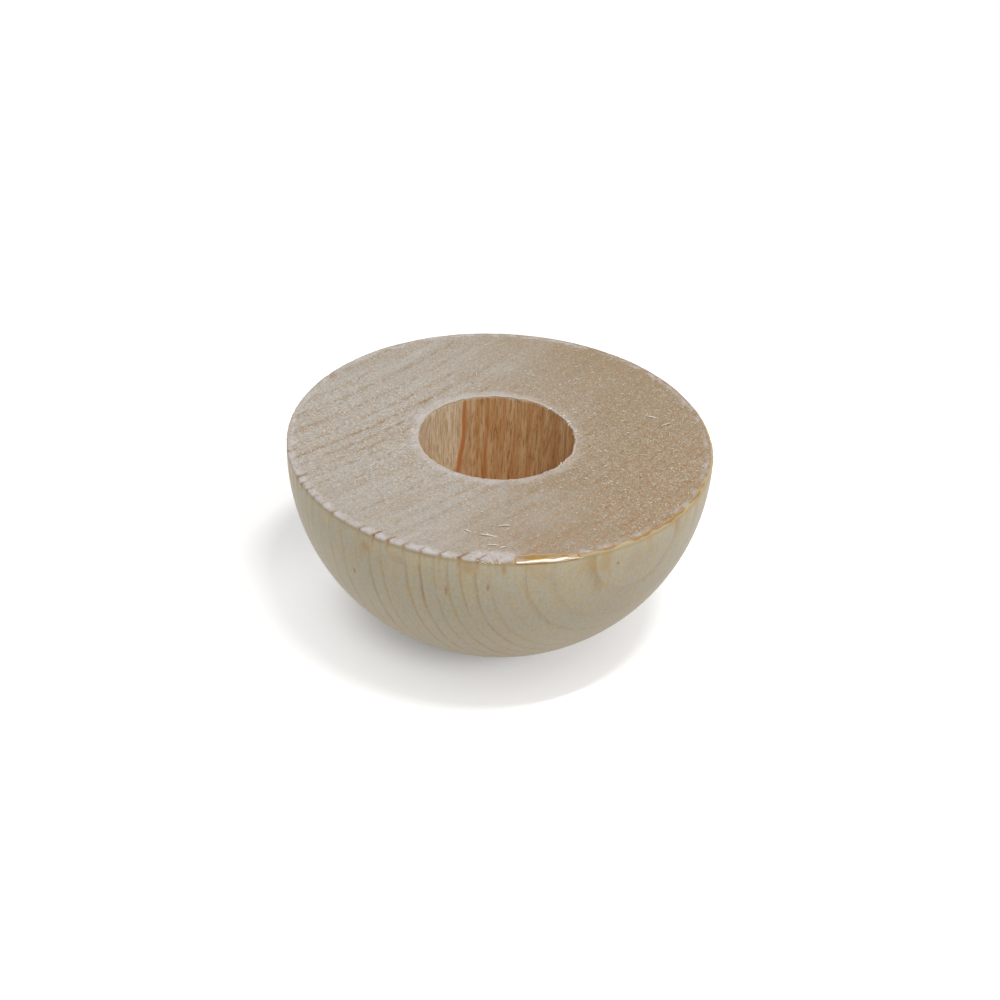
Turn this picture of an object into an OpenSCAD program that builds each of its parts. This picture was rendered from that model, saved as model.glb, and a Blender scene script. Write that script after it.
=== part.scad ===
// Half-ball finial for the end of a round wooden handrail.
// One turned piece of softwood: a dome, sawn flat across the end that meets
// the rail, with a blind bore on its axis for the dowel that fixes it.
// The dome's crown is at the origin and the sawn face looks up, along +Z.
// Millimetres.

/* [Dome] */
// Diameter of the handrail, and so of the dome where it is widest
rail_d = 42; // [35:0.5:60]
// Height of the sawn face above the dome's widest circle
face_rise = 1; // [0:0.1:4]
// Size of the eased edge round the sawn face
edge_ease = 0.3; // [0.1:0.05:1.5]
// Diameter of the flat on the crown, where the lathe centre's nib was sanded off
crown_flat_d = 3; // [1:0.25:6]

/* [Dowel bore] */
// Diameter of the bore
bore_d = 15; // [8:0.5:20]
// Depth of the bore's floor below the sawn face
bore_depth = 15; // [8:0.5:18]
// Width and depth of the broken edge round the bore's mouth
mouth_break = 0.25; // [0.05:0.05:0.6]
// Diameter of the pit that the drill's centre point leaves in the floor
pit_d = 3; // [1:0.25:5]
// Depth of that pit below the floor
pit_depth = 1.5; // [0.5:0.25:2.5]

/* [Hidden] */
$fn = 180;

// Heights on the axis, from the crown's flat up to the sawn face.
dome_r = rail_d / 2;
widest_z = sqrt(pow(dome_r, 2) - pow(crown_flat_d / 2, 2));
face_z = widest_z + face_rise;
floor_z = face_z - bore_depth;

// The ease is an arc round a point that lies the ease's size inside both the
// face and the dome. Sandpaper leaves it meeting them at a slight angle, so
// its radius is a little more than that distance.
ease_z = face_z - edge_ease;
ease_x = sqrt(pow(dome_r - edge_ease, 2) - pow(ease_z - widest_z, 2));
ease_arc_r = 1.03 * edge_ease;

// How far a cutting shape runs past the surface that it opens.
overrun = 1;

// Half-section of the dome, flat at the crown and at the sawn face.
module ball_section() {
    intersection() {
        translate([0, widest_z]) circle(r = dome_r);
        square([dome_r, face_z]);
    }
}

// Everything that the sandpaper leaves at the rim: all of the section under
// the face and below the ease, and the arc between them.
module eased_section() {
    square([ease_x, face_z]);
    square([dome_r, ease_z]);
    translate([ease_x, ease_z]) circle(r = ease_arc_r);
}

// The dome as it leaves the lathe, the saw and the sandpaper.
module turned_dome() {
    rotate_extrude() intersection() {
        ball_section();
        eased_section();
    }
}

// What the drill takes out: the bore, its broken mouth and its point's pit.
module dowel_bore() {
    bore_r = bore_d / 2;
    translate([0, 0, floor_z]) cylinder(r = bore_r, h = bore_depth + overrun);
    translate([0, 0, face_z - mouth_break])
        cylinder(r1 = bore_r, r2 = bore_r + mouth_break, h = mouth_break);
    translate([0, 0, floor_z - pit_depth])
        cylinder(r1 = 0, r2 = pit_d / 2, h = pit_depth);
}

module finial_body() {
    color([0.82, 0.73, 0.57]) difference() {
        turned_dome();
        dowel_bore();
    }
}

finial_body();
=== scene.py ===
import math
import random

import bmesh
import bpy
from mathutils import Matrix, Vector, noise


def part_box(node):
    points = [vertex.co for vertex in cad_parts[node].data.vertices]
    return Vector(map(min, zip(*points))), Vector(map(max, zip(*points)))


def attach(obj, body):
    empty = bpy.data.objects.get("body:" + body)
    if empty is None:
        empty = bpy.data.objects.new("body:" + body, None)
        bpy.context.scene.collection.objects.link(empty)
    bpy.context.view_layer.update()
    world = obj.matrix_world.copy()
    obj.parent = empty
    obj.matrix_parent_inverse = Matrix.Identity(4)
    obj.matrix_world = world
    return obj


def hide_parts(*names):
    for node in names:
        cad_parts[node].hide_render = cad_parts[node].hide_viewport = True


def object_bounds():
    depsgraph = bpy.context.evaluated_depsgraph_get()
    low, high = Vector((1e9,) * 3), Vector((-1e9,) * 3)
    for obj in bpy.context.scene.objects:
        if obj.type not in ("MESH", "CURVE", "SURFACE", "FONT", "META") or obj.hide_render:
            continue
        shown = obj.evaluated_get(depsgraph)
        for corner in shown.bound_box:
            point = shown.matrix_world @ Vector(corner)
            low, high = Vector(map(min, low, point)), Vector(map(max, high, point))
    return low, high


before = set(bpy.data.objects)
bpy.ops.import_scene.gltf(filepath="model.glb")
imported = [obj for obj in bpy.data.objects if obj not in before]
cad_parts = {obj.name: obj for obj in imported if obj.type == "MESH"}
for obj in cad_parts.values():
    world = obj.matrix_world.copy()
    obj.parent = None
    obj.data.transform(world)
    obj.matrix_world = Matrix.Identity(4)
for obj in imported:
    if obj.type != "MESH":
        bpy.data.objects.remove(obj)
cad_low, cad_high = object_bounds()

scene = bpy.context.scene
scene.view_settings.view_transform = "Standard"


# The camera. It stands over the front of the bench and looks down on the
# sawn face, held with its right side a little high.
MM = 0.001
face_z = cad_high.z / MM
camera_away = 173.97
camera_lift = 32.1
camera_lean = 2.71
aim_below_face = 2.084
aim_right = 0.0195

lens = bpy.data.cameras.new("camera")
lens.sensor_width = 36.0
lens.lens = 63.41
lens.clip_start = 0.005
lens.clip_end = 10.0
camera = bpy.data.objects.new("camera", lens)
scene.collection.objects.link(camera)
scene.camera = camera
stand = Vector((0.0, -math.cos(math.radians(camera_lift)), math.sin(math.radians(camera_lift))))
camera.matrix_world = (
    Matrix.Translation((Vector((0.0, 0.0, face_z)) + stand * camera_away) * MM)
    @ Matrix.Rotation(math.radians(90.0 - camera_lift), 4, "X")
    @ Matrix.Rotation(math.radians(camera_lean), 4, "Z")
    @ Matrix.Rotation(math.radians(aim_right), 4, "Y")
    @ Matrix.Rotation(math.radians(-aim_below_face), 4, "X")
)


# The finial. One piece of slow-grown softwood, turned to a dome, sawn off
# square to its axis, drilled for the dowel and dipped in clear lacquer before
# the last saw cut, so the cut end is bare and rough.
dome_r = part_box("finial_body")[1].x / MM
crown_flat_r = 1.5
ball_z = math.sqrt(dome_r ** 2 - crown_flat_r ** 2)
edge_ease = 0.3
bore_r = 7.5
mouth_break = 0.25
mouth_r = bore_r + mouth_break
bore_depth = 15.0
bore_floor_z = face_z - bore_depth
pit_r = 1.5
pit_depth = 1.5
worked_depth = 2.5
fine_wall = 2.0
turns = 400

wood = bmesh.new()


def swing(shape, start, cent, degrees, steps):
    """Swings the last corner of the half-section up round cent and returns where it ends."""
    swung = bmesh.ops.spin(
        shape, geom=[start], cent=cent, axis=(0.0, -1.0, 0.0),
        angle=math.radians(degrees), steps=steps)
    return [v for v in swung["geom_last"] if isinstance(v, bmesh.types.BMVert)][0]


def run(shape, start, to, cuts):
    """Draws a straight side of the half-section and cuts it into even lengths."""
    end = shape.verts.new(to)
    side = shape.edges.new((start, end))
    shape.verts.index_update()
    number = end.index
    if cuts:
        bmesh.ops.subdivide_edges(shape, edges=[side], cuts=cuts)
    shape.verts.ensure_lookup_table()
    return shape.verts[number]


ball = (0.0, 0.0, ball_z)
crown_angle = math.degrees(math.asin(crown_flat_r / dome_r))
worked_angle = 90.0 + math.degrees(math.asin((face_z - worked_depth - ball_z) / dome_r))
ease_angle = 90.0 + math.degrees(math.asin((face_z - edge_ease - ball_z) / dome_r))
corner = run(wood, wood.verts.new((0.0, 0.0, 0.0)), (crown_flat_r, 0.0, 0.0), 2)
corner = swing(wood, corner, ball, worked_angle - crown_angle, 38)
corner = swing(wood, corner, ball, ease_angle - worked_angle, 13)
ease_x = corner.co.x - edge_ease
corner = swing(wood, corner, (ease_x, 0.0, face_z - edge_ease), 90.0, 5)
for x, z, cuts in (
        (mouth_r, face_z, 73),
        (bore_r, face_z - mouth_break, 2),
        (bore_r, face_z - fine_wall, 9),
        (bore_r, bore_floor_z, 13),
        (pit_r, bore_floor_z, 5),
        (0.0, bore_floor_z - pit_depth, 2)):
    corner = run(wood, corner, (x, 0.0, z), cuts)

same_place = 0.0005
bmesh.ops.spin(
    wood, geom=wood.verts[:] + wood.edges[:], cent=(0.0, 0.0, 0.0), axis=(0.0, 0.0, 1.0),
    angle=math.tau, steps=turns, use_merge=True)
bmesh.ops.remove_doubles(wood, verts=wood.verts[:], dist=same_place)


def radius(v):
    """How far a corner lies from the axis."""
    return math.hypot(v.co.x, v.co.y)


def goes_round(edge):
    """True for an edge that runs round the axis."""
    a, b = edge.verts
    return abs(a.co.z - b.co.z) < same_place and abs(radius(a) - radius(b)) < same_place


# The outer half of the face and the rim carry finer marks, so they are cut
# twice as fine round the axis.
fine_from_r = 12.0
outer = [
    e for e in wood.edges
    if goes_round(e) and radius(e.verts[0]) > fine_from_r and e.verts[0].co.z > face_z - worked_depth]
bmesh.ops.subdivide_edges(wood, edges=outer, cuts=1)
bmesh.ops.recalc_face_normals(wood, faces=wood.faces[:])

# The tree's rings cross the piece as wide arcs: the pith lay far off to the
# back left. Years are narrower the further out they grew, with slow swells.
pith_away = 124.0
pith_turn = math.radians(139.0)
grow_turn = math.radians(41.0)


def across(x, y):
    """How far out from the middle ring a point lies, in millimetres."""
    return math.hypot(
        x - pith_away * math.cos(pith_turn), y - pith_away * math.sin(pith_turn)) - pith_away


def years(rho):
    """The count of years from the middle ring: whole numbers are the dark lines."""
    return (
        0.68 * rho + 0.0038 * rho ** 2 - 0.35
        - 0.17 * math.sin(0.54 * rho + 0.1) - 0.49 * math.sin(0.28 * rho - 1.4))


def dark_line(x, y, width):
    """1 on a dark line, falling away on both sides."""
    count = years(across(x, y))
    return math.exp(-((count - round(count)) / width) ** 2)


def bite(x, y):
    """How deep the rim broke on the dark line nearest to a point."""
    year = round(years(across(x, y)))
    return min(1.0, max(0.12, 0.55 + 1.3 * noise.noise(Vector((year * 3.7, 0.5, 0.2)))))


def ease(value, start, end):
    """0 before start, 1 after end and a smooth rise between them."""
    t = min(1.0, max(0.0, (value - start) / (end - start)))
    return t * t * (3.0 - 2.0 * t)


def sector(turn, start, end, soft):
    """1 between two bearings round the axis, in degrees, with soft ends."""
    middle = (start + end) / 2.0
    reach = (end - start) / 2.0
    off = abs((turn - middle + 180.0) % 360.0 - 180.0)
    return 1.0 - ease(off, reach - soft / 2.0, reach + soft / 2.0)


def rough(x, y, z, scale):
    """A smooth random value between -1 and 1. A larger scale makes it change faster."""
    return noise.noise(Vector((x, y, z)) * scale)


def torn_wide(turn):
    """How much wider the drill tore the bore at a bearing: more on the left than on the right."""
    return 0.13 + 0.45 * sector(turn, 120.0, 240.0, 90.0) - 0.25 * sector(turn, -60.0, 50.0, 60.0)


mouth_marks_r = 8.0


def torn_ragged(turn, ux, uy):
    """The small ins and outs of the bore's torn mouth."""
    x, y = mouth_marks_r * ux, mouth_marks_r * uy
    return 0.17 * rough(x, y, 2.0, 0.9) * sector(turn, -50.0, 120.0, 40.0) + 0.13 * rough(x, y, 2.0, 2.9)


# The marks on the rim are laid out at one radius and those on the face start
# at another. The tags carry them to the finishes: burr is fuzz standing on the
# edge, pool is lacquer that ran together, slit is a notch on a dark line.
rim_marks_r = 20.75
drawn_in_r = 17.0
burr_tag = wood.verts.layers.float.new("burr")
pool_tag = wood.verts.layers.float.new("pool")
slit_tag = wood.verts.layers.float.new("slit")
for v in wood.verts:
    x, y, z = v.co
    r = math.hypot(x, y)
    if r < 0.01:
        continue
    turn = math.degrees(math.atan2(y, x))
    ux, uy = x / r, y / r
    burr = pool = slit = 0.0
    if z > face_z - worked_depth - 0.001 and r > mouth_r - 0.001:
        # How this bearing of the rim was worked: sanded round on the right,
        # left with a burr on the left, chipped at the front.
        sanded = sector(turn, -66.0, 30.0, 20.0)
        torn = sector(turn, -168.0, -86.0, 8.0)
        chip = sector(turn, -84.8, -68.6, 1.6)
        rx, ry = rim_marks_r * ux, rim_marks_r * uy
        deep = bite(rx, ry)
        line = deep * dark_line(rx, ry, 0.09)
        lump = (1.0 - line) * min(1.3, max(0.0, 0.75 + 1.2 * rough(rx, ry, 3.0, 1.3)))
        size = 0.20 + 0.14 * sanded + 0.05 * rough(rx, ry, 0.0, 0.35)
        rim_r = math.sqrt(dome_r ** 2 - (face_z - size - ball_z) ** 2) - size
        rim_r += 0.05 * rough(rx, ry, 9.0, 1.9) + 0.04 * rough(rx, ry, 5.0, 0.6)
        chip_r = 19.95 + 0.14 * rough(rx, ry, 1.0, 1.7) + 0.56 * ease(turn, -79.5, -67.4)
        if z > face_z - same_place and r < ease_x + same_place:
            edge_r = rim_r + (chip_r - rim_r) * chip
            share = max(0.0, (r - drawn_in_r) / (ease_x - drawn_in_r))
            if r > drawn_in_r:
                r = drawn_in_r + share * (edge_r - drawn_in_r)
            tear = torn_wide(turn) + torn_ragged(turn, ux, uy)
            r += tear * (1.0 - ease(r, mouth_r, mouth_r + 2.4))
            x, y = r * ux, r * uy
            rho = across(x, y)
            along = x * math.sin(grow_turn) + y * math.cos(grow_turn)
            calm = 0.3 + 0.7 * ease(r, mouth_r + 0.3, mouth_r + 1.3)
            saw = 0.040 * noise.noise(Vector((rho * 2.6, along * 1.5, 0.0)))
            saw += 0.040 * noise.noise(Vector((rho * 5.5, along * 4.2, 4.0)))
            pit = ease(noise.noise(Vector((rho * 3.6, along * 2.8, 8.0))), 0.20, 0.5)
            z += calm * (saw - 0.07 * pit - 0.015 * dark_line(x, y, 0.13))
            z += 0.03 * rough(x, y, 2.0, 0.25) - 0.02
            wide = 0.58 + 0.80 * rough(rx, ry, 12.0, 0.9)
            near = ease(r, edge_r - wide, edge_r - wide + 0.30)
            here = deep * dark_line(x, y, 0.085)
            z += torn * near * (0.09 * lump * (1.0 - here) - 0.10 * here)
            burr = torn * near * (1.0 - here) * (0.22 + 0.70 * lump)
            slit = torn * here * ease(r, edge_r - 0.35 - 0.75 * deep, edge_r - 0.25 - 0.35 * deep)
            thin = 0.55 + 0.9 * rough(rx, ry, 7.0, 0.9) - 0.22 * sanded
            ragged = 0.28 + 0.30 * rough(rx, ry, 10.0, 1.2)
            hairline = math.exp(-((edge_r - ragged - r) / 0.20) ** 2)
            burr = max(burr, thin * hairline * (1.0 - chip))
            z += 0.07 * max(0.0, thin) * sanded * hairline
            ring = 0.75 + 0.6 * rough(mouth_marks_r * ux, mouth_marks_r * uy, 6.0, 0.5)
            mouth = 1.0 - ease(r - tear, mouth_r + 0.2, mouth_r + 0.7 + 0.5 * ring)
            burr = max(burr, mouth * ring * (0.72 - 0.42 * sector(turn, -50.0, 75.0, 60.0)))
            patch = sector(turn, -96.0, -84.9, 1.5) * ease(r, 19.1, 19.9)
            burr = max(burr, patch * (0.8 + 0.4 * rough(x, y, 1.0, 2.0)))
            z += patch * (0.04 + 0.09 * rough(x, y, 1.0, 2.4))
        elif z > face_z - edge_ease - same_place:
            bend = math.atan2(r - ease_x, z - (face_z - edge_ease))
            share = bend / (math.pi / 2.0)
            base_r = rim_r + size * math.sin(bend)
            base_z = face_z - size * (1.0 - math.cos(bend))
            chip_edge = chip_r + (dome_r - 0.03 - chip_r) * share ** 0.85
            chip_z = face_z - 0.11 * min(1.0, share * 4.0) - 0.13 * share ** 2
            r = base_r + (chip_edge - base_r) * chip
            z = base_z + (chip_z - base_z) * chip
            r += torn * (0.07 * lump - 0.26 * line)
            z += torn * (0.09 * lump * (1.0 - share) - 0.08 * line)
            burr = torn * (1.0 - line) * (0.35 + 0.65 * lump) * (1.0 - 0.4 * share)
            slit = torn * line
            amber = sector(turn, -70.0, -19.0, 8.0)
            amber *= min(1.0, max(0.0, 0.95 + 1.2 * rough(rx, ry, 4.0, 0.55)))
            height = 0.32 + 0.5 * rough(rx, ry, 14.0, 0.9)
            pool = max(chip, amber * (1.0 - ease(share, height - 0.15, height + 0.25)))
        else:
            low_z = face_z - worked_depth
            share = (z - low_z) / (face_z - edge_ease - low_z)
            z = low_z + share * (face_z - (size + (0.27 - size) * chip) - low_z)
            r = math.sqrt(dome_r ** 2 - (z - ball_z) ** 2)
            drop = face_z - z
            r += torn * 0.05 * lump * (1.0 - ease(drop, size, size + 0.3))
            r -= torn * 0.16 * line * (1.0 - ease(drop, 0.1, 0.6))
            slit = torn * line * (1.0 - 0.75 * ease(drop, 0.3, 1.3)) * (1.0 - ease(drop, 1.2, 2.3))
            r += 0.012 * rough(x, y, z, 0.8)
            pool = chip * (1.0 - ease(drop, 0.27, 0.38))
        v.co = (r * ux, r * uy, z)
    elif r < mouth_r + 0.001 and z > bore_floor_z - 0.001 and z > 1.0:
        depth = face_z - z
        shift = torn_wide(turn) * (1.0 - ease(depth, 3.0, 11.0)) * ease(r, 3.0, bore_r)
        shift += torn_ragged(turn, ux, uy) * (1.0 - ease(depth, 0.0, 0.6))
        shift -= 0.20 * ease(r, bore_r + 0.01, mouth_r) * ease(depth, -0.1, 0.1)
        wall = ease(r, bore_r - 0.3, bore_r - 0.01) * ease(depth, 0.0, 0.3)
        shift += wall * 0.05 * rough(x, y, z * 0.3, 1.1) * (1.0 - ease(depth, 0.4, 2.0))
        shift += wall * 0.035 * rough(x, y, z * 0.06, 2.0)
        shift += wall * 0.03 * rough(x, y, z * 0.10, 4.5)
        v.co = ((r + shift) * ux, (r + shift) * uy, z)
        burr = 1.0 if r > bore_r + 0.01 else 0.0
    elif r > 1.6:
        wave = 0.015 * rough(x, y, z, 0.18)
        v.co = ((r + wave) * ux, (r + wave) * uy, z)
    v[burr_tag] = min(1.0, max(0.0, burr))
    v[pool_tag] = min(1.0, max(0.0, pool))
    v[slit_tag] = min(1.0, max(0.0, slit))

lacquered_no = 0
sawn_no = 1
drilled_no = 2
all_sawn_r = 18.0
for face in wood.faces:
    middle = face.calc_center_median()
    r = math.hypot(middle.x, middle.y)
    turn = math.degrees(math.atan2(middle.y, middle.x))
    torn = sector(turn, -172.0, -85.5, 2.0) > 0.5
    pooled = max(v[pool_tag] for v in face.verts)
    face.smooth = True
    if r < mouth_r + 0.5 and 5.0 < middle.z < face_z - 0.05:
        face.material_index = drilled_no
    elif r < all_sawn_r and middle.z > face_z - 1.0:
        face.material_index = sawn_no
    elif middle.z < face_z - 0.7 or pooled > 0.02:
        face.material_index = lacquered_no
    elif abs(face.normal.z) > (0.30 if torn else 0.93):
        face.material_index = sawn_no
    else:
        face.material_index = lacquered_no

bmesh.ops.scale(wood, vec=(MM, MM, MM), verts=wood.verts[:])
mesh = bpy.data.meshes.new("turned_finial")
wood.to_mesh(mesh)
wood.free()
mesh.set_sharp_from_angle(angle=math.radians(62.0))
finial = bpy.data.objects.new("turned_finial", mesh)
scene.collection.objects.link(finial)


def shade(red, green, blue):
    """A colour as it is seen, 0 to 255, turned into the amounts of light that are mixed."""
    return tuple(
        c / 12.92 if c <= 0.04045 else ((c + 0.055) / 1.055) ** 2.4
        for c in (red / 255.0, green / 255.0, blue / 255.0)) + (1.0,)


def fit(tree, kind, inputs, **settings):
    """Adds a node. Each input is a value to set or another node's output to wire in."""
    made = tree.nodes.new("ShaderNode" + kind)
    for name, value in settings.items():
        setattr(made, name, value)
    for name, value in inputs.items():
        if isinstance(value, bpy.types.NodeSocket):
            tree.links.new(value, made.inputs[name])
        else:
            made.inputs[name].default_value = value
    return made


def maths(tree, operation, *values):
    """One sum on values or on other nodes' outputs."""
    return fit(tree, "Math", dict(enumerate(values)), operation=operation).outputs[0]


def times(tree, product, *others):
    """All the values multiplied together."""
    for other in others:
        product = maths(tree, "MULTIPLY", product, other)
    return product


def held(tree, value):
    """A value kept between 0 and 1."""
    return fit(tree, "Math", {0: value, 1: 0.0}, operation="ADD", use_clamp=True).outputs[0]


def rise(tree, value, start, end, low=0.0, high=1.0):
    """low before start, high after end and a smooth change between them."""
    made = fit(
        tree, "MapRange",
        {"Value": value, "From Min": start, "From Max": end, "To Min": low, "To Max": high},
        interpolation_type="SMOOTHSTEP")
    return made.outputs["Result"]


def stain(tree, share, bare, stained):
    """One colour over another, by share."""
    made = fit(tree, "Mix", {0: share, 6: bare, 7: stained}, data_type="RGBA")
    return made.outputs[2]


def stretch(tree, vector, by):
    """A vector with each side multiplied by its own amount."""
    return fit(tree, "VectorMath", {0: vector, 1: by}, operation="MULTIPLY").outputs[0]


def sides_of(tree, vector):
    """A vector's X, Y and Z."""
    return tuple(fit(tree, "SeparateXYZ", {0: vector}).outputs)


def away_from(tree, place, spot, reach=None):
    """How far a place lies from a spot, counted in the spot's own reach along X, Y and Z."""
    off = fit(tree, "VectorMath", {0: place, 1: spot}, operation="SUBTRACT").outputs[0]
    if reach is not None:
        off = stretch(tree, off, tuple(1.0 / side for side in reach))
    return fit(tree, "VectorMath", {0: off}, operation="LENGTH").outputs["Value"]


def mottle(tree, vector, scale, detail=2.0, roughness=0.5, distortion=0.0):
    """A cloudy value round 0.5."""
    made = fit(
        tree, "TexNoise",
        {"Vector": vector, "Scale": scale, "Detail": detail,
         "Roughness": roughness, "Distortion": distortion})
    return made.outputs["Fac"]


# Growth rings, used by the lacquered, the sawn and the drilled surface, so
# that a line on one goes on over the next.
growth = bpy.data.node_groups.new("growth_rings", "ShaderNodeTree")
waver_in = growth.interface.new_socket("Waver", in_out="INPUT", socket_type="NodeSocketFloat")
waver_in.default_value = 0.15
growth.interface.new_socket("Twist", in_out="INPUT", socket_type="NodeSocketFloat")
growth.interface.new_socket("Latewood", in_out="OUTPUT", socket_type="NodeSocketFloat")
growth.interface.new_socket("Grain", in_out="OUTPUT", socket_type="NodeSocketVector")
growth.interface.new_socket("Place", in_out="OUTPUT", socket_type="NodeSocketVector")
entry = growth.nodes.new("NodeGroupInput")
leave = growth.nodes.new("NodeGroupOutput")
where = growth.nodes.new("ShaderNodeTexCoord")
place = fit(
    growth, "VectorMath", {0: where.outputs["Object"], "Scale": 1.0 / MM},
    operation="SCALE").outputs[0]
turned = fit(
    growth, "VectorRotate", {"Vector": place, "Angle": grow_turn}, rotation_type="Z_AXIS")
outward = sides_of(growth, turned.outputs[0])[0]
# The rings swing round a little on the outermost side of the dome.
spiral = times(growth, rise(growth, outward, 2.0, 17.0), entry.outputs["Twist"])
turned = fit(
    growth, "VectorRotate", {"Vector": turned.outputs[0], "Angle": spiral}, rotation_type="Z_AXIS")
outward, aside, upward = sides_of(growth, turned.outputs[0])
from_pith = maths(growth, "ADD", outward, pith_away)
squares = maths(growth, "ADD", times(growth, from_pith, from_pith), times(growth, aside, aside))
rho = maths(growth, "SUBTRACT", maths(growth, "SQRT", squares), pith_away)
# The count of years is the same sum as in years(), moved on by a tenth.
waver = mottle(growth, stretch(growth, place, (1.0, 1.0, 0.3)), 0.7, 3.0)
waver = maths(growth, "SUBTRACT", waver, 0.5)
rho = maths(growth, "MULTIPLY_ADD", waver, entry.outputs["Waver"], rho)
count = maths(growth, "MULTIPLY_ADD", rho, 0.0038, 0.68)
count = maths(growth, "MULTIPLY_ADD", count, rho, -0.35)
swell = maths(growth, "SINE", maths(growth, "MULTIPLY_ADD", rho, 0.54, 0.1))
count = maths(growth, "MULTIPLY_ADD", swell, -0.17, count)
swell = maths(growth, "SINE", maths(growth, "MULTIPLY_ADD", rho, 0.28, -1.4))
count = maths(growth, "MULTIPLY_ADD", swell, -0.49, count)
count = maths(growth, "ADD", count, 0.10)
season = maths(growth, "FRACT", count)
year = maths(growth, "FLOOR", count)
strength = fit(growth, "TexWhiteNoise", {"W": year}, noise_dimensions="1D").outputs["Value"]
strength = maths(growth, "MULTIPLY_ADD", strength, 0.65, 0.35)
darkening = maths(growth, "POWER", rise(growth, season, 0.45, 0.90), 1.6)
ending = rise(growth, season, 0.93, 1.0, 1.0, 0.0)
starting = rise(growth, season, 0.0, 0.06, 0.35, 0.0)
latewood = maths(growth, "MAXIMUM", times(growth, darkening, ending), starting)
latewood = times(growth, latewood, strength)
grain = fit(growth, "CombineXYZ", {0: rho, 1: aside, 2: upward})
growth.links.new(latewood, leave.inputs["Latewood"])
growth.links.new(grain.outputs[0], leave.inputs["Grain"])
growth.links.new(place, leave.inputs["Place"])


def rings_in(tree, waver, twist=0.0):
    """How dark the growth lines are, the place along the grain, and the place on the part, in mm."""
    made = tree.nodes.new("ShaderNodeGroup")
    made.node_tree = growth
    made.inputs["Waver"].default_value = waver
    made.inputs["Twist"].default_value = math.radians(twist)
    return made.outputs["Latewood"], made.outputs["Grain"], made.outputs["Place"]


def tag(tree, name):
    """A value that the mesh carries."""
    return fit(tree, "Attribute", {}, attribute_name=name).outputs["Fac"]


def new_finish(name):
    """A new material with its nodes and its shader."""
    made = bpy.data.materials.new(name)
    made.use_nodes = True
    return made, made.node_tree, made.node_tree.nodes["Principled BSDF"]


def lift(tree, height, distance, strength, under=None):
    """Relief too fine for the mesh."""
    inputs = {"Height": height, "Distance": distance * MM, "Strength": strength}
    if under is not None:
        inputs["Normal"] = under
    return fit(tree, "Bump", inputs).outputs["Normal"]


# Clear lacquer over the turned wood.
lacquered, tree, shader = new_finish("lacquered_dome")
latewood, grain, place = rings_in(tree, 0.3, 9.9)
right, _, height = sides_of(tree, place)
band = sides_of(tree, grain)[0]
thin_line = maths(tree, "POWER", latewood, 1.8)
patchy = mottle(tree, stretch(tree, place, (0.40, 0.40, 0.16)), 1.0, 3.0)
fade = rise(tree, patchy, 0.38, 0.62, 0.42, 0.95)
fibre = mottle(tree, stretch(tree, grain, (5.0, 3.0, 0.45)), 1.0, 4.0, 0.65)
broad = mottle(tree, stretch(tree, place, (0.14, 0.14, 0.10)), 1.0, 2.0)
colour = stain(tree, rise(tree, broad, 0.35, 0.65), shade(191, 181, 156), shade(195, 182, 155))
colour = stain(tree, rise(tree, fibre, 0.30, 0.72, 0.0, 0.30), colour, shade(166, 150, 116))
hue = mottle(tree, stretch(tree, place, (1.0, 1.0, 0.7)), 1.0, 3.0, 0.7)
hue_share = rise(tree, height, 8.0, 19.0, 0.16, 0.33)
yellower = times(tree, rise(tree, hue, 0.48, 0.66), hue_share)
colour = stain(tree, yellower, colour, shade(204, 177, 124))
greyer = times(tree, rise(tree, hue, 0.52, 0.36), hue_share)
colour = stain(tree, greyer, colour, shade(184, 182, 172))
# The growth lines are faint low down on the right and bold on the left.
right_low = times(
    tree, rise(tree, band, 15.5, 19.0), rise(tree, height, face_z - 0.6, face_z - 3.5))
fade = times(tree, fade, maths(tree, "MULTIPLY_ADD", right_low, -0.55, 1.0))
left_bold = rise(tree, band, 4.0, -10.0, 0.80, 1.25)
lines = held(tree, times(tree, thin_line, fade, left_bold))
colour = stain(tree, lines, colour, shade(162, 129, 76))
beyond = times(
    tree, rise(tree, right, 5.0, 14.0), rise(tree, height, 19.0, 9.0, 0.0, 0.50))
colour = stain(tree, beyond, colour, shade(166, 142, 104))
colour = stain(tree, rise(tree, height, 15.0, 5.0, 0.0, 0.14), colour, shade(192, 160, 116))
speck = mottle(tree, place, 3.4, 3.0, 0.7)
colour = stain(tree, rise(tree, speck, 0.48, 0.66, 0.0, 0.16), colour, shade(150, 130, 92))
colour = stain(tree, rise(tree, speck, 0.52, 0.36, 0.0, 0.15), colour, shade(206, 200, 184))
drip = rise(tree, mottle(tree, stretch(tree, place, (0.9, 0.9, 0.16)), 1.0, 3.0), 0.56, 0.66)
drip = times(tree, drip, thin_line, 0.20)
colour = stain(tree, drip, colour, shade(156, 114, 60))
near_rim = rise(tree, height, face_z - 4.6, face_z - 0.4)
amber_patch = mottle(tree, stretch(tree, place, (0.55, 0.55, 0.40)), 1.0, 3.0, 0.6)
amber_patch = times(tree, rise(tree, amber_patch, 0.50, 0.64), near_rim, 0.42)
colour = stain(tree, amber_patch, colour, shade(188, 152, 94))
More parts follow.
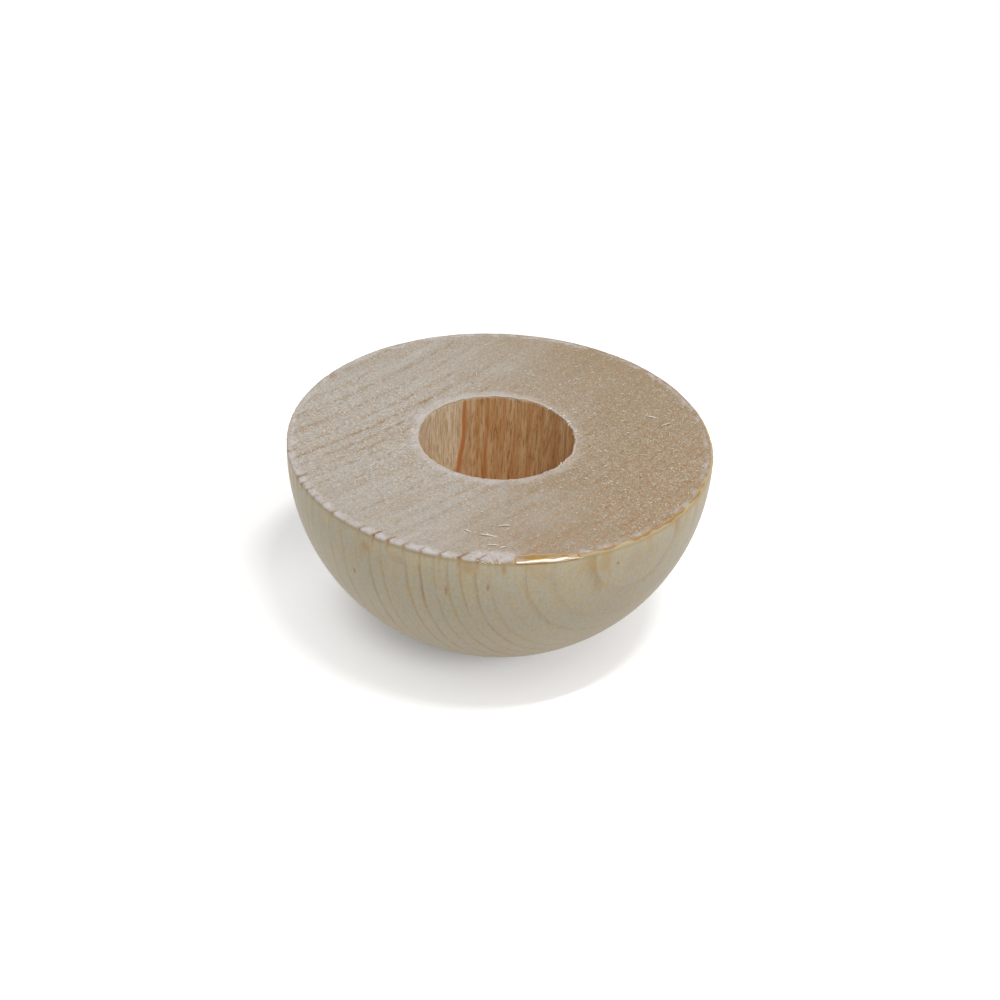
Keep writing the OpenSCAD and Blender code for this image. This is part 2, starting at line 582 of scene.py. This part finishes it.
# Knots, pin marks and small soaked patches: where each lies, down from the
# face, how wide and tall it is, how strong and what colour.
for x, y, z, wide, tall, strong, dark in (
        (11.22, -17.73, -1.91, 0.14, 0.17, 0.7, (118, 102, 84)),
        (-12.98, -15.86, -5.57, 0.14, 0.45, 0.7, (118, 104, 78)),
        (-4.27, -20.33, -4.05, 0.16, 0.70, 0.6, (162, 120, 68)),
        (-0.49, -20.89, -3.06, 0.13, 0.50, 0.6, (150, 112, 66)),
        (0.86, -20.98, -0.80, 0.24, 0.60, 0.6, (168, 120, 60)),
        (-2.40, -20.86, -1.00, 0.60, 0.60, 0.5, (172, 134, 80)),
        (10.20, -18.35, -1.10, 0.60, 1.40, 0.38, (180, 136, 74)),
        (12.90, -16.50, -2.20, 0.90, 1.50, 0.22, (176, 146, 106)),
        (-11.90, -17.30, -1.60, 0.45, 0.60, 0.5, (170, 130, 72)),
        (-8.80, -19.00, -1.70, 0.80, 0.60, 0.35, (172, 140, 88))):
    off = away_from(tree, place, (x, y, face_z + z), (wide, wide, tall))
    colour = stain(tree, rise(tree, off, 1.5, 0.3, 0.0, strong), colour, shade(*dark))
# Painted light: the top two millimetres of the dome, where its side still faces up, are painted paler.
painted_light_band = rise(tree, height, face_z - 2.0, face_z - 1.2)
colour = stain(tree, times(tree, painted_light_band, 0.14), colour, shade(206, 192, 155))
on_edge = rise(tree, height, face_z - 0.65, face_z - 0.25, 0.0, 0.62)
colour = stain(tree, on_edge, colour, shade(170, 148, 106))
pooled = rise(tree, tag(tree, "pool"), 0.02, 0.50, 0.0, 0.85)
colour = stain(tree, pooled, colour, shade(150, 110, 52))
slit = held(tree, times(tree, tag(tree, "slit"), 0.85))
colour = stain(tree, slit, colour, shade(158, 118, 66))
tree.links.new(colour, shader.inputs["Base Color"])
orange_peel = mottle(tree, place, 0.9, 2.0)
shader.inputs["Roughness"].default_value = 0.5
shader.inputs["Specular IOR Level"].default_value = 0.35
shader.inputs["Coat Weight"].default_value = 0.08
shader.inputs["Coat Roughness"].default_value = 0.2
relief = lift(tree, orange_peel, 0.2, 0.25)
relief = lift(tree, fibre, 0.02, 0.35, relief)
tree.links.new(relief, shader.inputs["Normal"])

# Bare end grain as the saw left it.
sawn, tree, shader = new_finish("sawn_end_grain")
latewood, grain, place = rings_in(tree, 0.35)
right, back, _ = sides_of(tree, place)
band = sides_of(tree, grain)[0]
cloud = mottle(tree, place, 0.16, 3.0)
tanned = maths(tree, "MULTIPLY_ADD", maths(tree, "SUBTRACT", cloud, 0.5), 22.0, right)
tanned = rise(tree, tanned, -10.0, 13.0)
colour = stain(tree, tanned, shade(176, 170, 162), shade(154, 133, 104))
# The rows of pores are broken up. They are faint at the back right, softer
# toward the front, and warm on the right.
faint = times(tree, rise(tree, back, -2.0, 9.0), rise(tree, right, -9.0, 3.0))
clear = maths(tree, "MULTIPLY_ADD", faint, -0.7, 1.0)
rows = mottle(tree, stretch(tree, grain, (1.8, 0.7, 0.7)), 1.0, 4.0, 0.7)
rows = times(tree, rise(tree, rows, 0.40, 0.62, 0.15, 1.0), clear)
toward_front = maths(
    tree, "MAXIMUM", rise(tree, back, -3.0, -16.0, 1.0, 0.55), rise(tree, right, 3.0, 12.0))
plain = times(tree, rise(tree, right, 2.0, -10.0, 0.42, 0.50), toward_front)
lines = held(tree, times(tree, latewood, rows, plain))
colour = stain(tree, lines, colour, shade(156, 127, 88))
year_band = mottle(tree, stretch(tree, grain, (0.75, 0.05, 0.05)), 1.0, 3.0, 0.6)
year_band = rise(tree, year_band, 0.36, 0.66)
colour = stain(tree, times(tree, year_band, 0.36), colour, shade(148, 122, 92))
warm = held(tree, times(tree, latewood, rows, rise(tree, band, 10.0, 17.0, 0.0, 0.90)))
colour = stain(tree, warm, colour, shade(182, 122, 74))
tint = mottle(tree, place, 6.5, 2.0, 0.7)
colour = stain(tree, rise(tree, tint, 0.50, 0.66, 0.0, 0.26), colour, shade(178, 138, 88))
colour = stain(tree, rise(tree, tint, 0.50, 0.34, 0.0, 0.26), colour, shade(186, 182, 168))
hue = mottle(tree, place, 3.4, 3.0, 0.7)
warmer = stain(tree, tanned, shade(188, 160, 118), shade(168, 128, 80))
cooler = stain(tree, tanned, shade(164, 168, 174), shade(142, 138, 128))
colour = stain(tree, rise(tree, hue, 0.50, 0.68, 0.0, 0.46), colour, warmer)
colour = stain(tree, rise(tree, hue, 0.50, 0.32, 0.0, 0.38), colour, cooler)
# Dark pits and pale flecks where the saw tore the fibres. The pale flecks are partly painted glints.
fine = mottle(tree, stretch(tree, grain, (5.4, 4.4, 4.4)), 1.0, 3.0, 0.8)
pits = rise(tree, maths(tree, "MULTIPLY_ADD", lines, 0.34, fine), 0.52, 0.66)
coarseness = times(tree, rise(tree, back, 5.0, 14.0, 1.0, 0.66), toward_front)
pits = times(tree, pits, times(tree, coarseness, 0.72))
colour = stain(tree, pits, colour, shade(138, 106, 66))
# Pale flecks of torn fibre, partly painted glints.
fibre_flecks_and_glints = mottle(tree, stretch(tree, grain, (4.2, 3.3, 3.3)), 1.5, 3.0, 0.8, 0.8)
fibre_flecks_and_glints = rise(tree, maths(tree, "MULTIPLY_ADD", lines, -0.10, fibre_flecks_and_glints), 0.50, 0.64)
rougher = times(tree, rise(tree, right, 6.0, -10.0, 0.58, 0.86), coarseness)
colour = stain(tree, times(tree, fibre_flecks_and_glints, rougher), colour, shade(218, 213, 203))
burred = held(tree, times(tree, tag(tree, "burr"), 0.9))
burred = times(tree, burred, rise(tree, fine, 0.62, 0.50, 0.5, 1.0))
colour = stain(tree, burred, colour, shade(205, 198, 197))
slit = held(tree, times(tree, tag(tree, "slit"), 1.1))
colour = stain(tree, slit, colour, shade(144, 108, 68))
# One dark dot behind the bore and one pale blue smudge in front of it.
for x, y, wide, dark in ((-3.16, 10.08, 0.13, (70, 60, 50)), (0.54, -8.87, 0.35, (160, 162, 172))):
    off = away_from(tree, place, (x, y, face_z))
    colour = stain(tree, rise(tree, off, wide * 1.3, wide * 0.6, 0.0, 0.8), colour, shade(*dark))
tree.links.new(colour, shader.inputs["Base Color"])
shader.inputs["Roughness"].default_value = 0.85
nap = mottle(tree, stretch(tree, grain, (6.0, 4.0, 4.0)), 1.0, 5.0, 0.8)
relief = lift(tree, nap, 0.14, 0.9)
tree.links.new(relief, shader.inputs["Normal"])

# The drilled wall, with the fibres cut along their length.
drilled, tree, shader = new_finish("drilled_bore")
latewood, grain, place = rings_in(tree, 0.12)
fibre = mottle(tree, stretch(tree, grain, (6.5, 6.5, 0.55)), 1.0, 4.0, 0.75)
coarse = mottle(tree, stretch(tree, grain, (1.6, 1.6, 0.10)), 1.0, 2.0)
colour = stain(tree, rise(tree, coarse, 0.36, 0.64), shade(216, 184, 140), shade(196, 150, 96))
colour = stain(tree, rise(tree, fibre, 0.50, 0.62, 0.0, 0.8), colour, shade(160, 104, 56))
colour = stain(tree, rise(tree, fibre, 0.46, 0.32, 0.0, 0.7), colour, shade(228, 202, 164))
colour = stain(tree, held(tree, times(tree, latewood, 0.7)), colour, shade(180, 116, 58))
right, back, _ = sides_of(tree, place)
band = sides_of(tree, grain)[0]
# Painted light: the left wall, which faces the lamp, is painted paler.
painted_light_side = rise(tree, right, -2.2, -5.2)
lit_wall_colour = stain(tree, rise(tree, fibre, 0.56, 0.42), shade(206, 184, 146), shade(240, 228, 204))
colour = stain(tree, times(tree, painted_light_side, 0.78), colour, lit_wall_colour)
# The growth lines that the drill cut lengthwise stand out on the far wall:
# how far out each one grew, its half width and its strength.
far_wall = rise(tree, back, 3.0, 4.5)
for grew_at, wide, strong in (
        (-7.33, 0.10, 0.90), (-5.95, 0.07, 0.32), (-4.60, 0.08, 0.50),
        (-3.30, 0.07, 0.40), (-1.90, 0.10, 0.30)):
    beside = maths(tree, "ABSOLUTE", maths(tree, "SUBTRACT", band, grew_at))
    stripe = times(tree, rise(tree, beside, wide * 1.5, wide * 0.4, 0.0, strong), far_wall)
    colour = stain(tree, stripe, colour, shade(192, 118, 50))
burred = rise(tree, tag(tree, "burr"), 0.0, 0.5)
colour = stain(tree, burred, colour, shade(186, 174, 160))
tree.links.new(colour, shader.inputs["Base Color"])
shader.inputs["Roughness"].default_value = 0.7
relief = lift(tree, fibre, 0.12, 0.7)
tree.links.new(relief, shader.inputs["Normal"])

for finish in (lacquered, sawn, drilled):
    mesh.materials.append(finish)
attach(finial, "root")
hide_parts("finial_body")


# The lacquer run. Where the rim chipped at the front, the lacquer pooled in
# the break and set as an amber bead with a rounded lip, and a few small drops
# stand beside it on the edge.
run_from = -85.6
run_to = -67.4
run_steps = 110
lip_center = (20.291, 0.0, face_z - 0.931)
lip_degrees = -25.0
roll_center = (20.857, 0.0, face_z - 0.257)
roll_degrees = -60.0
bead_marks_r = 20.0
bead_tilt_r = 20.81
bead_outer_r = 20.97
bead = bmesh.new()
corner = bead.verts.new((20.05, 0.0, face_z - 0.05))
for x, up, cuts in ((20.16, 0.03, 1), (20.42, 0.05, 2), (20.55, 0.035, 1)):
    corner = run(bead, corner, (x, 0.0, face_z + up), cuts)
corner = swing(bead, corner, lip_center, lip_degrees, 7)
corner = swing(bead, corner, roll_center, roll_degrees, 3)
for x, up, cuts in ((20.90, -0.38, 0), (20.50, -0.38, 2)):
    corner = run(bead, corner, (x, 0.0, face_z + up), cuts)
bead.edges.new((corner, bead.verts[0]))
bmesh.ops.rotate(
    bead, verts=bead.verts[:], cent=(0.0, 0.0, 0.0),
    matrix=Matrix.Rotation(math.radians(run_from), 3, "Z"))
bmesh.ops.spin(
    bead, geom=bead.verts[:] + bead.edges[:], cent=(0.0, 0.0, 0.0), axis=(0.0, 0.0, 1.0),
    angle=math.radians(run_to - run_from), steps=run_steps)
bmesh.ops.holes_fill(bead, edges=bead.edges[:], sides=0)
# The bead thins out to the right, follows the break on its inner side and
# runs out against the rim.
for v in bead.verts:
    x, y, z = v.co
    r = math.hypot(x, y)
    turn = math.degrees(math.atan2(y, x))
    ux, uy = x / r, y / r
    bx, by = bead_marks_r * ux, bead_marks_r * uy
    share = (turn - run_from) / (run_to - run_from)
    taper = max(0.05, ease(share, -0.02, 0.06) * (1.0 - ease(share, 0.70, 1.02)))
    taper *= 0.8 + 0.5 * rough(bx, by, 5.0, 0.9)
    out = ease(r, 20.02, 20.5)
    inner = 0.14 * rough(rim_marks_r * ux, rim_marks_r * uy, 1.0, 1.7)
    new_r = r + (inner - 0.02) * (1.0 - out) + 0.05 * out * rough(bx, by, 4.0, 0.7)
    new_r += max(0.0, bead_outer_r - new_r) * 0.55 * ease(share, 0.335, 1.0)
    wander = rough(bx, by, 8.0, 0.6)
    tilt = 0.16 * rough(bx, by, 15.0, 1.1)
    top = face_z - z < 0.36
    new_z = z + ((0.07 * wander + tilt * (r - bead_tilt_r)) * out if top else 0.0)
    sunk = face_z - 0.10 - 0.14 * out
    new_z = sunk + (new_z - sunk) * (0.35 + 0.65 * min(1.0, taper)) if top else new_z
    v.co = (new_r * ux, new_r * uy, new_z)

drops = random.Random(7)
drop_count = 12
for _ in range(drop_count):
    turn = math.radians(drops.uniform(-94.5, -85.4))
    size = drops.uniform(0.05, 0.11)
    drop = bmesh.ops.create_icosphere(bead, subdivisions=2, radius=size)["verts"]
    away = 20.95 + drops.uniform(-0.03, 0.06)
    bmesh.ops.scale(bead, verts=drop, vec=(1.0, 1.5, 0.7))
    bmesh.ops.rotate(bead, verts=drop, cent=(0.0, 0.0, 0.0), matrix=Matrix.Rotation(turn, 3, "Z"))
    bmesh.ops.translate(
        bead, verts=drop,
        vec=(away * math.cos(turn), away * math.sin(turn), face_z - drops.uniform(0.08, 0.34)))
bmesh.ops.recalc_face_normals(bead, faces=bead.faces[:])
for face in bead.faces:
    face.smooth = True
bmesh.ops.scale(bead, vec=(MM, MM, MM), verts=bead.verts[:])
bead_mesh = bpy.data.meshes.new("lacquer_run")
bead.to_mesh(bead_mesh)
bead.free()
lacquer_run = bpy.data.objects.new("lacquer_run", bead_mesh)
scene.collection.objects.link(lacquer_run)

# Amber on top, darker where it is thickest on the left. The drops are painted pale, a painted highlight
# that stands in for their glints.
amber, tree, shader = new_finish("amber_lacquer")
_, _, place = rings_in(tree, 0.3)
right, _, height = sides_of(tree, place)
tone = mottle(tree, place, 1.6, 3.0, 0.6)
colour = stain(tree, rise(tree, tone, 0.35, 0.65), shade(164, 130, 68), shade(154, 116, 52))
dark_end = times(tree, rise(tree, right, 3.6, 1.9), rise(tree, right, 1.55, 1.75))
colour = stain(tree, times(tree, dark_end, 0.7), colour, shade(140, 94, 42))
# Painted highlight: the loose drops are painted pale in place of their glints.
painted_drop_glints = rise(tree, right, 1.75, 1.50)
colour = stain(tree, times(tree, painted_drop_glints, 0.9), colour, shade(198, 168, 118))
low_side = rise(tree, height, face_z - 0.20, face_z - 0.28)
colour = stain(tree, times(tree, low_side, 0.8), colour, shade(170, 146, 100))
tree.links.new(colour, shader.inputs["Base Color"])
shader.inputs["Roughness"].default_value = 0.05
shader.inputs["Specular IOR Level"].default_value = 0.15
# Only the rounded lip is glossy. The top is flat and dull beside it.
lip = rise(tree, height, face_z + 0.03, face_z - 0.07)
tree.links.new(lip, shader.inputs["Coat Weight"])
shader.inputs["Coat IOR"].default_value = 3.0
shader.inputs["Coat Roughness"].default_value = 0.03
ripple = mottle(tree, place, 2.6, 2.0)
tree.links.new(lift(tree, ripple, 0.15, 0.7), shader.inputs["Normal"])
bead_mesh.materials.append(amber)
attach(lacquer_run, "root")


# Torn fibres. The saw and the drill leave short curled fibres and loose
# crumbs of the same softwood standing on the cut face, most on the right.
loose = random.Random(21)


def fibre_curl(curve, x, y, z, heading, bend, length, thick, arch):
    """One fibre: a thin curl that starts and ends in the cut surface."""
    points = 6
    spline = curve.splines.new("POLY")
    spline.points.add(points - 1)
    for i in range(points):
        share = i / (points - 1.0)
        up = z + arch * math.sin(math.pi * share) - 0.02
        spline.points[i].co = (x * MM, y * MM, up * MM, 1.0)
        spline.points[i].radius = thick * (0.35 + 0.65 * math.sin(math.pi * (0.1 + 0.8 * share)))
        x += math.cos(heading) * length / points
        y += math.sin(heading) * length / points
        heading += bend / points


curls = bpy.data.curves.new("curls", "CURVE")
curls.dimensions = "3D"
curls.bevel_depth = MM
curls.bevel_resolution = 0
curls.use_fill_caps = True
curl_count = 260
curls_from_r = 8.4
curls_to_r = 20.2
along_grain = math.radians(49.0)
standing = 0
while standing < curl_count:
    turn = loose.uniform(-math.pi, math.pi)
    away = math.sqrt(loose.uniform(curls_from_r ** 2, curls_to_r ** 2))
    x, y = away * math.cos(turn), away * math.sin(turn)
    wanted = 0.25 + 0.75 * ease(x, -2.0, 10.0)
    if loose.random() > wanted:
        continue
    heading = along_grain + loose.uniform(-1.1, 1.1) + math.pi * loose.randint(0, 1)
    fibre_curl(
        curls, x, y, face_z, heading, loose.uniform(-2.6, 2.6), loose.uniform(0.25, 0.70),
        loose.uniform(0.022, 0.042), loose.uniform(0.03, 0.11))
    standing += 1
# Tufts that the drill left standing on the right of the bore's mouth.
for turn_at, start_r in ((27.0, 7.7), (34.0, 7.9), (-38.0, 7.6), (48.0, 7.7), (12.0, 7.8)):
    for _ in range(4):
        turn = math.radians(turn_at + loose.uniform(-4.0, 4.0))
        heading = turn + math.pi + loose.uniform(-1.0, 1.0)
        fibre_curl(
            curls, start_r * math.cos(turn), start_r * math.sin(turn), face_z, heading,
            loose.uniform(-2.0, 2.0), loose.uniform(0.4, 0.9), loose.uniform(0.03, 0.05), 0.02)
# The few long fibres, each in its own place.
for x, y, way, length, thick in (
        (-1.7, -16.9, -14.0, 2.1, 0.075), (0.1, -15.5, 4.0, 1.5, 0.09), (-0.9, -18.5, -6.0, 1.5, 0.05),
        (-2.9, -16.3, -40.0, 0.9, 0.07), (0.3, -19.0, 20.0, 0.9, 0.06), (14.4, 5.1, -20.0, 1.8, 0.06),
        (16.0, 3.3, 25.0, 1.7, 0.06)):
    fibre_curl(curls, x, y, face_z, math.radians(way), 0.3, length, thick, 0.10)
curl_maker = bpy.data.objects.new("curl_maker", curls)
scene.collection.objects.link(curl_maker)
curl_mesh = bpy.data.meshes.new_from_object(curl_maker)
bpy.data.objects.remove(curl_maker)

litter = bmesh.new()
litter.from_mesh(curl_mesh)
bmesh.ops.remove_doubles(litter, verts=litter.verts[:], dist=0.001 * MM)
crumb_count = 420
crumbs_from_r = 8.6
crumbs_to_r = 20.4
for _ in range(crumb_count):
    turn = loose.uniform(-math.pi, math.pi)
    away = math.sqrt(loose.uniform(crumbs_from_r ** 2, crumbs_to_r ** 2))
    spin = Matrix.Rotation(loose.uniform(0.0, math.pi), 3, "Z")
    size = loose.uniform(0.03, 0.075) * MM
    crumb = bmesh.ops.create_icosphere(litter, subdivisions=1, radius=size)["verts"]
    bmesh.ops.scale(litter, verts=crumb, vec=(1.5, 0.8, 0.6))
    bmesh.ops.rotate(litter, verts=crumb, cent=(0.0, 0.0, 0.0), matrix=spin)
    bmesh.ops.translate(
        litter, verts=crumb,
        vec=(away * math.cos(turn) * MM, away * math.sin(turn) * MM, (face_z + 0.01) * MM))
bmesh.ops.recalc_face_normals(litter, faces=litter.faces[:])
for face in litter.faces:
    face.smooth = True
litter_mesh = bpy.data.meshes.new("torn_fibres")
litter.to_mesh(litter_mesh)
litter.free()
torn_fibres = bpy.data.objects.new("torn_fibres", litter_mesh)
scene.collection.objects.link(torn_fibres)
pale_fibre, tree, shader = new_finish("torn_fibre")
_, _, place = rings_in(tree, 0.3)
tone = mottle(tree, place, 0.9, 2.0)
colour = stain(tree, rise(tree, tone, 0.35, 0.65), shade(228, 222, 210), shade(206, 194, 172))
tree.links.new(colour, shader.inputs["Base Color"])
shader.inputs["Roughness"].default_value = 0.75
litter_mesh.materials.append(pale_fibre)
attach(torn_fibres, "root")


# The bench and the light. A white bench with the part's shadow on it, a soft
# lamp high in front and to the right with a small bright tube in it, and the
# pale room all round.
bench_r = 2.5
bench_gap = 0.00002
bench_mesh = bpy.data.meshes.new("bench")
bench_shape = bmesh.new()
bmesh.ops.create_circle(bench_shape, cap_ends=True, radius=bench_r, segments=64)
bmesh.ops.translate(bench_shape, verts=bench_shape.verts[:], vec=(0.0, 0.0, -bench_gap))
bench_shape.to_mesh(bench_mesh)
bench_shape.free()
bench = bpy.data.objects.new("bench", bench_mesh)
scene.collection.objects.link(bench)


def seen_in(tree):
    """1 where the eye, a gloss or a glass shows the thing, 0 where it only sends light on."""
    ray = tree.nodes.new("ShaderNodeLightPath")
    seen = maths(tree, "MAXIMUM", ray.outputs["Is Camera Ray"], ray.outputs["Is Glossy Ray"])
    return maths(tree, "MAXIMUM", seen, ray.outputs["Is Transmission Ray"])


# The paint is matt near the part, where the shadow lies, and plain white
# further out. The spill of light under the dome is part of the paint, and so
# is a painted shadow that reaches out to the back left.
bench_paint = bpy.data.materials.new("bench_white")
bench_paint.use_nodes = True
tree = bench_paint.node_tree
tree.nodes.remove(tree.nodes["Principled BSDF"])
seen = seen_in(tree)
spot = tree.nodes.new("ShaderNodeTexCoord").outputs["Object"]
away = fit(tree, "VectorMath", {0: spot}, operation="LENGTH").outputs["Value"]
far = rise(tree, away, 0.045, 0.075)
matt = fit(tree, "BsdfDiffuse", {"Color": (0.8, 0.8, 0.8, 1.0)})
beside = away_from(tree, spot, (-0.004, 0.003, 0.0))
spill = maths(
    tree, "ADD", rise(tree, beside, 0.0080, 0.0145, 0.14, 0.44),
    rise(tree, beside, 0.0140, 0.022, 0.0, -0.02))
# Painted shadow: the glow is taken down out to the back left.
back_left = (-0.643, 0.766, 0.0)
behind = fit(tree, "VectorMath", {0: spot, 1: back_left}, operation="DOT_PRODUCT").outputs["Value"]
painted_shadow = times(tree, rise(tree, behind, 0.015, 0.028, 0.0, 0.20), rise(tree, away, 0.041, 0.033))
spill = maths(tree, "SUBTRACT", spill, painted_shadow)
glow = fit(tree, "Emission", {"Color": (1.0, 1.0, 1.0, 1.0), "Strength": spill})
lit = fit(tree, "AddShader", {0: matt.outputs[0], 1: glow.outputs[0]})
white = fit(tree, "Emission", {"Color": (1.0, 1.0, 1.0, 1.0), "Strength": 1.0})
shown = fit(tree, "MixShader", {0: far, 1: lit.outputs[0], 2: white.outputs[0]})
dull = fit(tree, "BsdfDiffuse", {"Color": (0.50, 0.495, 0.485, 1.0)})
both = fit(tree, "MixShader", {0: seen, 1: dull.outputs[0], 2: shown.outputs[0]})
tree.links.new(both.outputs[0], tree.nodes["Material Output"].inputs["Surface"])
bench_mesh.materials.append(bench_paint)

room = bpy.data.worlds.new("room")
scene.world = room
room.use_nodes = True
tree = room.node_tree
seen = seen_in(tree)
air = tree.nodes["Background"]
air.inputs["Color"].default_value = (1.0, 1.0, 1.0, 1.0)
tree.links.new(maths(tree, "MULTIPLY_ADD", seen, 0.45, 0.55), air.inputs["Strength"])


lamp_place = Vector((0.086, -0.150, 0.465))
lamp_aim = Vector((0.0, 0.0, 0.01))


def lamp(name, wide, deep, power):
    """A white lamp that faces the part."""
    light = bpy.data.lights.new(name, "AREA")
    light.shape = "RECTANGLE"
    light.size = wide
    light.size_y = deep
    light.energy = power
    made = bpy.data.objects.new(name, light)
    scene.collection.objects.link(made)
    made.location = lamp_place
    made.rotation_euler = (lamp_aim - lamp_place).to_track_quat("-Z", "Y").to_euler()


lamp("window", 0.34, 0.34, 0.84)
lamp("tube", 0.10, 0.010, 0.78)
